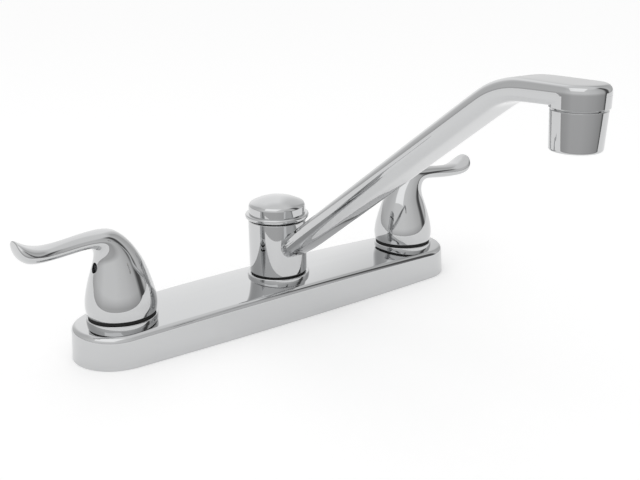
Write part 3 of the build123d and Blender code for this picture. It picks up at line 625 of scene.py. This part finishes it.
# places above and below along the lever, share of the lift, of the thickness and of the paddle's width
PADDLE_SLICES = (
    (0.86, 0.885, 0.42, 0.92, 1.0), (0.95, 0.98, 0.85, 0.50, 0.86), (0.985, 1.0, 1.0, -0.15, 0.5),
)


def handle_slices(h):
    """Back point, front point and width of each slice, up the bell, over the neck and along the lever."""
    dip = h.height - h.drop
    reach = h.reach - h.neck_front
    out = []
    for part, rise in BELL_SLICES:
        radius = part * h.belly
        out.append(((-radius, rise * h.height), (radius, rise * h.height), 2 * radius))
    for rear, front, back, width, swell in NECK_SLICES:
        out.append(((back * h.belly, rear * h.height), (h.neck_front + swell * MM, front * h.height),
                    width * h.belly))
    for x, rise, flare, under, width in ROOT_SLICES:
        out.append(((x * MM, rise * h.height), (h.neck_front + flare * MM, under * h.height),
                    width * h.neck_width))
    for place, drop, thick, width in LEVER_SLICES:
        x = h.neck_front + place * reach
        z = h.height - drop * h.drop
        out.append(((x, z), (x + h.lean, z - thick * h.thickness), width * h.lever_width))
    for upper, lower, lift, depth, width in PADDLE_SLICES:
        out.append(((h.neck_front + upper * reach, dip + lift * h.lift),
                    (h.neck_front + lower * reach, dip - depth * h.thickness), width * h.paddle_width))
    return out


class SliceRing:
    """The selected ring of vertices, extruded from one elliptical slice to the next."""

    def __init__(self, middle, depth, width):
        self.middle, self.depth, self.width, self.tilt = Vector(middle), depth, width, 0

    def go(self, middle, depth, width, tilt=0):
        extrude_in_place()
        here = self.middle
        turn_about(-self.tilt, "Y", here)
        bpy.ops.transform.resize(value=(depth / self.depth, width / self.width, 1), center_override=here)
        turn_about(tilt, "Y", here)
        bpy.ops.transform.translate(value=Vector(middle) - here)
        self.middle, self.depth, self.width, self.tilt = Vector(middle), depth, width, tilt


class TAP_OT_handles(bpy.types.Operator):
    """Lever handles: bell, neck and lever drawn ring by ring as one skin"""
    bl_idname = "tap.handles"
    bl_label = "Handles"

    def execute(self, context):
        h = context.scene.tap_handle
        model = self.skin(h)
        cut_round_hole(model, (h.neck_front, 0, h.screw_height), h.screw_radius, SCREW_HOLE_DEPTH,
                       (0, pi / 2, 0))
        turns = (pi + h.turn, -h.turn)
        for water, obj, turn in zip(WATERS, pair(model), turns):
            seat(obj, middle_x(f"{water}_handle_ring"), foot_of(f"{water}_handle"), turn)
            own(obj, f"{water}_control", "handle_chrome", f"{water}_handle")
        return {"FINISHED"}

    def skin(self, h):
        """A handle whose lever points to +X, from the hollow round the skirt's edge to the lever's tip."""
        radius = HOLLOW_SHARE * h.skirt
        deselect()
        bpy.ops.mesh.primitive_circle_add(vertices=SKIRT_CORNERS, radius=radius, fill_type="NGON",
                                          location=(0, 0, h.hollow))
        obj = name_new("handle_skin")
        bpy.ops.object.transform_apply(location=True, rotation=False, scale=False)
        edit(obj)
        take_all()
        ring = SliceRing((0, 0, h.hollow), 2 * radius, 2 * radius)
        for radius, z in self.skirt_rings(h):
            ring.go((0, 0, z), 2 * radius, 2 * radius)
        for back, front, width in handle_slices(h):
            across = Vector((back[0] - front[0], 0, back[1] - front[1]))
            middle = ((back[0] + front[0]) / 2, 0, (back[1] + front[1]) / 2)
            ring.go(middle, across.length, width, atan2(across.z, -across.x))
        bpy.ops.mesh.extrude_region_move(TRANSFORM_OT_translate={"value": TIP_STEP})
        bpy.ops.transform.resize(value=(TIP_SHARE,) * 3, center_override=ring.middle)
        bpy.ops.mesh.edge_face_add()
        close_up()
        return subdivide_smooth(obj, SKIN_LEVELS)

    def skirt_rings(self, h):
        """Radius and height of each ring, down the hollow and round the skirt's lower edge."""
        inner = h.skirt - h.wall
        return ((inner - HOLLOW_LEAN, h.hollow / 2), (inner, 2 * h.edge), (inner, 0), (inner + h.edge, 0),
                (h.skirt - h.edge, 0), (h.skirt, 0), (h.skirt + FLARE_STEPS[0], h.edge),
                (h.skirt + FLARE_STEPS[1], FLARE_HEIGHT))


# --- spout ---
SLOPE_REACHES = (9 * MM, 40 * MM, 80 * MM, 120 * MM)
BEND_LEAD = 6 * MM       # from the last slice on the slope to the bend
BEND_STEPS = 7
HEAD_LEAD = 3 * MM       # from the bend to the first level slice
HEAD_STEPS = 20
CORNER_SEGMENTS = 4

Station = namedtuple("Station", "reach height slope")
Section = namedtuple("Section", "width thickness corner")


def bend_end(s):
    return s.reach - s.head_radius - s.level


def bend_start(s):
    return bend_end(s) - s.bend * sin(s.slope)


def arm_stations(s):
    """Where the arm's slices stand, from inside the collar to the outlet's axis."""
    start = bend_start(s)
    start_height = s.head_height - s.bend * (1 - cos(s.slope))
    out = []
    for reach in (*SLOPE_REACHES, start - BEND_LEAD):
        out.append(Station(reach, start_height - (start - reach) * tan(s.slope), s.slope))
    for k in range(1, BEND_STEPS):
        slope = s.slope * (1 - k / BEND_STEPS)
        height = s.head_height - s.bend * (1 - cos(slope))
        out.append(Station(bend_end(s) - s.bend * sin(slope), height, slope))
    out.append(Station(bend_end(s) + HEAD_LEAD, s.head_height, 0))
    out.append(Station(s.reach, s.head_height, 0))
    return out


def arm_section(s, reach):
    """Size of the arm's slice at a reach."""
    start = bend_start(s)
    along = (reach - s.collar) / (s.reach - s.collar)
    before = min((reach - s.collar) / (start - s.collar), 1)
    after = max((reach - start) / (s.reach - start), 0)
    width = s.root_width + (2 * s.head_radius - s.root_width) * along
    thickness = s.root_thickness + (s.bend_thickness - s.root_thickness) * before
    thickness += (s.head_thickness - s.bend_thickness) * after
    return Section(width, thickness, s.corner_share * thickness * (1 - after) + s.head_edge * after)


class TAP_OT_spout_arm(bpy.types.Operator):
    """Spout arm: a rounded section drawn up the slope, through the bend and round the flat head"""
    bl_idname = "tap.spout_arm"
    bl_label = "Spout arm"

    def execute(self, context):
        s = context.scene.tap_spout
        stations = arm_stations(s)
        obj = self.first_slice(s, stations[0])
        for here, there in zip(stations, stations[1:]):
            extrude_in_place()
            self.next_slice(obj, s, here, there)
        self.round_end(obj, s)
        pick(obj, lambda co: co.y > -s.collar)
        bpy.ops.mesh.edge_face_add()
        close_up(SEAM_GAP)
        subdivide_smooth(obj, SKIN_LEVELS)
        collar_middle = (foot_of("spout_collar") + top_of("spout_collar")) / 2
        cut_round_hole(obj, (0, 0, collar_middle), s.collar - s.root_sink, 2 * collar_middle)
        own(obj, "swing_spout", "spout_chrome", "spout_arm")
        self.outlet(s)
        return {"FINISHED"}

    def first_slice(self, s, station):
        """The rounded slice inside the collar, as a loop of edges."""
        size = arm_section(s, station.reach)
        deselect()
        bpy.ops.mesh.primitive_plane_add(size=1, location=(0, 0, 0), rotation=(pi / 2, 0, 0))
        obj = name_new("spout_arm_skin")
        bpy.ops.object.transform_apply(location=False, rotation=True, scale=False)
        edit(obj)
        take_all()
        bpy.ops.transform.resize(value=(size.width, 1, size.thickness))
        bpy.ops.mesh.subdivide(number_cuts=1)
        right, top = size.width / 2 - TOUCHING, size.thickness / 2 - TOUCHING
        pick(obj, lambda co: abs(co.x) > right and abs(co.z) > top)
        bpy.ops.mesh.bevel(offset=size.corner, segments=CORNER_SEGMENTS, profile=0.5, affect="VERTICES")
        pick(obj, lambda co: co.length < TOUCHING)
        bpy.ops.mesh.delete(type="VERT")
        take_all()
        bpy.ops.mesh.delete(type="ONLY_FACE")
        take_all()
        turn_about(-station.slope, "X", (0, 0, 0))
        bpy.ops.transform.translate(value=(0, -station.reach, station.height))
        return obj

    def next_slice(self, obj, s, here, there):
        """Levels the selected slice, gives it the next slice's size and corners, and takes it there."""
        old, new = arm_section(s, here.reach), arm_section(s, there.reach)
        centre = Vector((0, -here.reach, here.height))
        turn_about(here.slope, "X", centre)
        wider, thicker = new.width / old.width, new.thickness / old.thickness
        bpy.ops.transform.resize(value=(wider, 1, thicker), center_override=centre)
        mesh = bmesh.from_edit_mesh(obj.data)
        ring = [v.index for v in mesh.verts if v.select]
        for x, z in ((1, 1), (1, -1), (-1, -1), (-1, 1)):
            corner = centre + Vector((x * new.width / 2, 0, z * new.thickness / 2))
            self.select_part(obj, ring,
                             lambda co: min((co.x - centre.x) * x, (co.z - centre.z) * z) > TOUCHING)
            squeeze = (new.corner / (old.corner * wider), 1, new.corner / (old.corner * thicker))
            bpy.ops.transform.resize(value=squeeze, center_override=corner)
        self.select_part(obj, ring, lambda co: True)
        turn_about(-there.slope, "X", centre)
        bpy.ops.transform.translate(value=Vector((0, -there.reach, there.height)) - centre)

    def select_part(self, obj, ring, test):
        """Selects the slice's vertices that pass a test."""
        mesh = bmesh.from_edit_mesh(obj.data)
        mesh.verts.ensure_lookup_table()
        for index in ring:
            vertex = mesh.verts[index]
            vertex.select_set(test(vertex.co))
        mesh.select_flush_mode()
        bmesh.update_edit_mesh(obj.data)

    def round_end(self, obj, s):
        """Spins the right half of the last slice round the outlet's axis."""
        bpy.ops.mesh.select_mode(type="EDGE")
        mesh = bmesh.from_edit_mesh(obj.data)
        for edge in mesh.edges:
            ends = [v.co for v in edge.verts]
            edge.select_set(all(abs(co.y + s.reach) < SEAM_GAP and co.x > -TOUCHING for co in ends))
        bmesh.update_edit_mesh(obj.data)
        spin_round(0, -s.reach, HEAD_STEPS, -pi)
        bpy.ops.mesh.select_mode(type="VERT")

    def outlet(self, s):
        """Boss under the head and the threaded neck inside the aerator."""
        boss = top_of("aerator_housing") + s.gap
        neck = top_of("aerator_gasket")
        obj = lathe("spout_outlet_neck", [
            (s.bore, s.head_height, 0), (s.bore, neck, 0), (s.neck, neck, s.neck_edge), (s.neck, boss, 0),
            (s.head_radius, boss, s.boss_edge), (s.head_radius, s.head_height, 0)], -s.reach)
        own(obj, "swing_spout", "spout_chrome")


DOME_STEPS = 12
POLE_RADIUS = 0.02 * MM   # where the dome's profile stops at the axis


class TAP_OT_spout_rings(bpy.types.Operator):
    """Turned pieces round the spout's foot: base ring, slip washers, collar and cap nut"""
    bl_idname = "tap.spout_rings"
    bl_label = "Spout rings"

    def execute(self, context):
        r = context.scene.tap_rings
        ring = turned_ring("spout_base_ring_skin", "spout_base_ring", r.base_bore, r.base_edge)
        own(ring, "fixed_deck_unit", "ring_chrome", "spout_base_ring")
        for node in ("lower_slip_washer", "upper_slip_washer"):
            washer = turned_ring(f"{node}_skin", node, r.base_bore, r.slip_edge, r.slip_edge)
            own(washer, "fixed_deck_unit", "slip_plastic", node)
        bore = half_width("spout_collar") - r.collar_wall
        collar = turned_ring("spout_collar_skin", "spout_collar", bore, r.collar_edge, r.collar_edge,
                             HUB_STEPS)
        own(collar, "swing_spout", "spout_chrome", "spout_collar")
        self.cap(context.scene.tap_cap)
        return {"FINISHED"}

    def cap(self, c):
        """Cap nut: a bead, an upright band and a shallow dome over a threaded bore."""
        foot, top, bead = foot_of("spout_cap_nut"), top_of("spout_cap_nut"), half_width("spout_cap_nut")
        roof = foot + c.bore_depth
        shoulder = foot + c.bead
        sphere = (c.band**2 + c.rise**2) / (2 * c.rise)
        profile = [(c.bore, roof, 0), (c.bore, foot, 0), (bead, foot, c.bead_edge),
                   (bead, shoulder, c.bead_edge), (c.band, shoulder, 0), (c.band, top - c.rise, c.band_edge)]
        for k in range(1, DOME_STEPS):
            radius = c.band * (1 - k / DOME_STEPS)
            profile.append((radius, top - sphere + sqrt(sphere**2 - radius**2), 0))
        profile += [(POLE_RADIUS, top, 0), (POLE_RADIUS, roof, 0)]
        cap = lathe("spout_cap_skin", profile, steps=HUB_STEPS)
        own(cap, "fixed_deck_unit", "cap_chrome", "spout_cap_nut")


class TAP_OT_handle_rings(bpy.types.Operator):
    """Plated rings and black glide rings under the handles"""
    bl_idname = "tap.handle_rings"
    bl_label = "Handle rings"

    def execute(self, context):
        r = context.scene.tap_rings
        plated = turned_ring("handle_ring_skin", "hot_handle_ring", r.valve_bore, r.valve_edge)
        black = turned_ring("glide_ring_skin", "hot_glide_ring", r.glide_bore, r.glide_edge, r.glide_edge)
        for water, ring, glide in zip(WATERS, pair(plated), pair(black)):
            for obj in (ring, glide):
                seat(obj, middle_x(f"{water}_handle_ring"))
            own(ring, "fixed_deck_unit", "ring_chrome", f"{water}_handle_ring")
            own(glide, "fixed_deck_unit", "glide_plastic", f"{water}_glide_ring")
        return {"FINISHED"}


class TAP_OT_aerator(bpy.types.Operator):
    """Tapered aerator sleeve with a rounded, turned-in lower rim"""
    bl_idname = "tap.aerator"
    bl_label = "Aerator"

    def execute(self, context):
        a = context.scene.tap_aerator
        foot, top = foot_of("aerator_housing"), top_of("aerator_housing")
        step = top - a.bore_depth
        inner = a.lower - a.wall
        mouth = inner - a.lip
        sleeve = lathe("aerator_sleeve_skin", [
            (a.bore, top, 0), (a.upper, top, a.upper_edge), (a.lower, foot, a.lower_edge),
            (mouth, foot, a.lip_edge), (mouth, foot + a.wall, 0), (inner, foot + a.wall, 0),
            (inner, step, 0), (a.bore, step, 0)], -context.scene.tap_spout.reach, AERATOR_STEPS)
        own(sleeve, "swing_spout", "aerator_chrome", "aerator_housing")
        return {"FINISHED"}


# --- studio ---
FLOOR_GLOW = 0.29
FLOOR_SIZE = 8.0
FLOOR_FRONT = 0.2        # how far the floor reaches in front of the tap, towards the camera
FLOOR_DROP = 0.2 * MM    # how far the floor lies under the plate's foot
LAMP_PLACE = (-0.9, -0.5, 1.5)
LAMP_AIM = (0, -0.05, 0.05)
LAMP_SIZE = 1.5
LAMP_WATTS = 3
ROOF_LEVEL = 0.9
# degrees to the right of the camera, level
WALL_LEVELS = (
    (-90, 0.68), (-60, 0.78), (-45, 0.86), (0, 0.86), (40, 0.76), (76, 0.6), (86, 0.1), (98, 0.1),
    (106, 0.74), (122, 0.62), (146, 0.55), (156, 0.76), (168, 0.84), (180, 1.1), (205, 1.08), (225, 0.74),
    (245, 0.66), (270, 0.68),
)
# degrees above the horizon, share of the roof's light
ROOF_SHARES = ((0, 0), (50, 0), (62, 1), (90, 1))
# degrees above the horizon, share of the walls' light: the room's dark floor below, its walls above
FOOT_SHARES = ((-90, 0.6), (-6, 0.66), (6, 1), (90, 1))
CAMERA_PLACE = (-0.26361, -0.39246, 0.19619)
CAMERA_AZIMUTH = radians(-36.966)
CAMERA_ELEVATION = radians(18.153)
CAMERA_ROLL = radians(-0.513)
CAMERA_FOCAL_PIXELS = 828.17
CAMERA_NEAREST = 0.01
PICTURE_WIDTH = 640
SENSOR_WIDTH = 36        # mm


def calculate(tree, operation, first, second):
    """Output of a Math node whose inputs are sockets or numbers."""
    node = tree.nodes.new("ShaderNodeMath")
    node.operation = operation
    for value, socket in zip((first, second), node.inputs):
        if isinstance(value, (int, float)):
            socket.default_value = value
        else:
            tree.links.new(value, socket)
    return node.outputs[0]


def ramp(tree, source, stops):
    """Grey levels over a value from 0 to 1."""
    node = tree.nodes.new("ShaderNodeValToRGB")
    elements = node.color_ramp.elements
    elements.remove(elements[-1])
    elements[0].position = stops[0][0]
    for place, _ in stops[1:]:
        elements.new(place)
    for element, (_, level) in zip(elements, stops):
        element.color = (level, level, level, 1)
    tree.links.new(source, node.inputs["Fac"])
    return node.outputs["Color"]


def round_stops(stops):
    """Degrees round the camera as places on a radial gradient."""
    return [(0.25 + turn / 360, level) for turn, level in stops]


def upright_stops(stops):
    """Degrees above the horizon as places from straight down, 0, to straight up, 1."""
    return [((sin(radians(rise)) + 1) / 2, level) for rise, level in stops]


class TAP_OT_studio(bpy.types.Operator):
    """White floor, soft graded surroundings, a lamp and the camera"""
    bl_idname = "tap.studio"
    bl_label = "Studio"

    def execute(self, context):
        self.floor(context)
        self.world(context)
        self.lamp(context)
        self.camera(context)
        context.scene.view_settings.view_transform = "Standard"
        return {"FINISHED"}

    def floor(self, context):
        """A white sheet under the tap that ends a little in front of the picture's lower edge."""
        deselect()
        away = Vector((-sin(CAMERA_AZIMUTH), cos(CAMERA_AZIMUTH), 0)) * (FLOOR_SIZE / 2 - FLOOR_FRONT)
        bpy.ops.mesh.primitive_plane_add(size=FLOOR_SIZE, location=(away.x, away.y, -FLOOR_DROP),
                                         rotation=(0, 0, CAMERA_AZIMUTH))
        floor = name_new("studio_floor")
        mat = bpy.data.materials.new("studio_white")
        mat.use_nodes = True
        tree = mat.node_tree
        tree.nodes.clear()
        matte = tree.nodes.new("ShaderNodeBsdfDiffuse")
        matte.inputs["Color"].default_value = (*context.scene.tap_colours.floor, 1)
        glow = tree.nodes.new("ShaderNodeEmission")
        level = calculate(tree, "MULTIPLY", self.seen_directly(tree), FLOOR_GLOW)
        tree.links.new(level, glow.inputs["Strength"])
        both = tree.nodes.new("ShaderNodeAddShader")
        tree.links.new(matte.outputs[0], both.inputs[0])
        tree.links.new(glow.outputs[0], both.inputs[1])
        out = tree.nodes.new("ShaderNodeOutputMaterial")
        tree.links.new(both.outputs[0], out.inputs["Surface"])
        floor.data.materials.append(mat)

    def seen_directly(self, tree):
        """1 for rays from the camera and for those off metal and through glass."""
        path = tree.nodes.new("ShaderNodeLightPath")
        seen = calculate(tree, "MAXIMUM", path.outputs["Is Camera Ray"], path.outputs["Is Glossy Ray"])
        return calculate(tree, "MAXIMUM", seen, path.outputs["Is Transmission Ray"])

    def world(self, context):
        """White behind the tap; round it, a grey room with a bright back wall and one dark gap."""
        world = bpy.data.worlds.new("studio_surroundings")
        context.scene.world = world
        world.use_nodes = True
        tree = world.node_tree
        tree.nodes.clear()
        room = tree.nodes.new("ShaderNodeBackground")
        tree.links.new(self.room_level(tree), room.inputs["Strength"])
        white = tree.nodes.new("ShaderNodeBackground")
        for node in (room, white):
            node.inputs["Color"].default_value = (1, 1, 1, 1)
        path = tree.nodes.new("ShaderNodeLightPath")
        choose = tree.nodes.new("ShaderNodeMixShader")
        tree.links.new(path.outputs["Is Camera Ray"], choose.inputs["Fac"])
        tree.links.new(room.outputs[0], choose.inputs[1])
        tree.links.new(white.outputs[0], choose.inputs[2])
        out = tree.nodes.new("ShaderNodeOutputWorld")
        tree.links.new(choose.outputs[0], out.inputs["Surface"])

    def room_level(self, tree):
        """The room's light: its walls by direction, darker under the horizon, and its roof overhead."""
        place = tree.nodes.new("ShaderNodeTexCoord")
        turned = tree.nodes.new("ShaderNodeMapping")
        turned.inputs["Rotation"].default_value = (0, 0, -CAMERA_AZIMUTH)
        tree.links.new(place.outputs["Generated"], turned.inputs["Vector"])
        compass = tree.nodes.new("ShaderNodeTexGradient")
        compass.gradient_type = "RADIAL"
        tree.links.new(turned.outputs[0], compass.inputs["Vector"])
        walls = ramp(tree, compass.outputs["Fac"], round_stops(WALL_LEVELS))
        split = tree.nodes.new("ShaderNodeSeparateXYZ")
        tree.links.new(turned.outputs[0], split.inputs[0])
        upright = calculate(tree, "MULTIPLY", calculate(tree, "ADD", split.outputs["Z"], 1), 0.5)
        walls = calculate(tree, "MULTIPLY", walls, ramp(tree, upright, upright_stops(FOOT_SHARES)))
        mix = tree.nodes.new("ShaderNodeMix")
        mix.data_type = "FLOAT"
        mix.inputs["B"].default_value = ROOF_LEVEL
        tree.links.new(ramp(tree, upright, upright_stops(ROOF_SHARES)), mix.inputs["Factor"])
        tree.links.new(walls, mix.inputs["A"])
        return mix.outputs["Result"]

    def lamp(self, context):
        """One wide soft lamp over the user's left shoulder."""
        lamp = bpy.data.lights.new("key_softbox", "AREA")
        lamp.size = LAMP_SIZE
        lamp.energy = LAMP_WATTS
        obj = bpy.data.objects.new("key_softbox", lamp)
        obj.location = LAMP_PLACE
        obj.rotation_euler = (Vector(LAMP_AIM) - obj.location).to_track_quat("-Z", "Y").to_euler()
        context.scene.collection.objects.link(obj)

    def camera(self, context):
        """The photograph's camera, by its compass direction, its height over the horizon and its roll."""
        az, el, roll = CAMERA_AZIMUTH, CAMERA_ELEVATION, CAMERA_ROLL
        back = Vector((sin(az) * cos(el), -cos(az) * cos(el), sin(el)))
        level = (-back).cross(Vector((0, 0, 1))).normalized()
        upright = level.cross(-back)
        right = level * cos(roll) + upright * sin(roll)
        up = upright * cos(roll) - level * sin(roll)
        data = bpy.data.cameras.new("photo_camera")
        data.sensor_width = SENSOR_WIDTH
        data.lens = CAMERA_FOCAL_PIXELS / PICTURE_WIDTH * SENSOR_WIDTH
        data.clip_start = CAMERA_NEAREST
        camera = bpy.data.objects.new("photo_camera", data)
        context.scene.collection.objects.link(camera)
        turn = Matrix((right, up, back)).transposed().to_4x4()
        camera.matrix_world = Matrix.Translation(CAMERA_PLACE) @ turn
        context.scene.camera = camera


class TAP_PT_panel(bpy.types.Panel):
    """Lists the tap's operators and sizes"""
    bl_idname = "TAP_PT_panel"
    bl_label = "Two Handle Kitchen Tap"
    bl_space_type = "VIEW_3D"
    bl_region_type = "UI"
    bl_category = "Tap"

    def draw(self, context):
        for operator in OPERATORS:
            self.layout.operator(operator.bl_idname)
        for name, group in GROUPS.items():
            for key in group.__annotations__:
                self.layout.prop(getattr(context.scene, name), key)


OPERATORS = (TAP_OT_finishes, TAP_OT_deck_plate, TAP_OT_handle_rings, TAP_OT_handles, TAP_OT_spout_rings,
             TAP_OT_spout_arm, TAP_OT_aerator, TAP_OT_studio)
GROUPS = {
    "tap_plate": PlateSizes, "tap_handle": HandleSizes, "tap_rings": RingSizes, "tap_cap": CapSizes,
    "tap_spout": SpoutSizes, "tap_aerator": AeratorSizes, "tap_colours": FinishColours,
}


def register():
    for cls in (*GROUPS.values(), *OPERATORS, TAP_PT_panel):
        bpy.utils.register_class(cls)
    for name, cls in GROUPS.items():
        setattr(bpy.types.Scene, name, PointerProperty(type=cls))


def unregister():
    for name in GROUPS:
        delattr(bpy.types.Scene, name)
    for cls in reversed((*GROUPS.values(), *OPERATORS, TAP_PT_panel)):
        bpy.utils.unregister_class(cls)


def main():
    register()
    deselect()
    bpy.ops.tap.finishes()
    bpy.ops.tap.deck_plate()
    bpy.ops.tap.handle_rings()
    bpy.ops.tap.handles()
    bpy.ops.tap.spout_rings()
    bpy.ops.tap.spout_arm()
    bpy.ops.tap.aerator()
    bpy.ops.tap.studio()
    deselect()


if __name__ == "__main__":
    main()
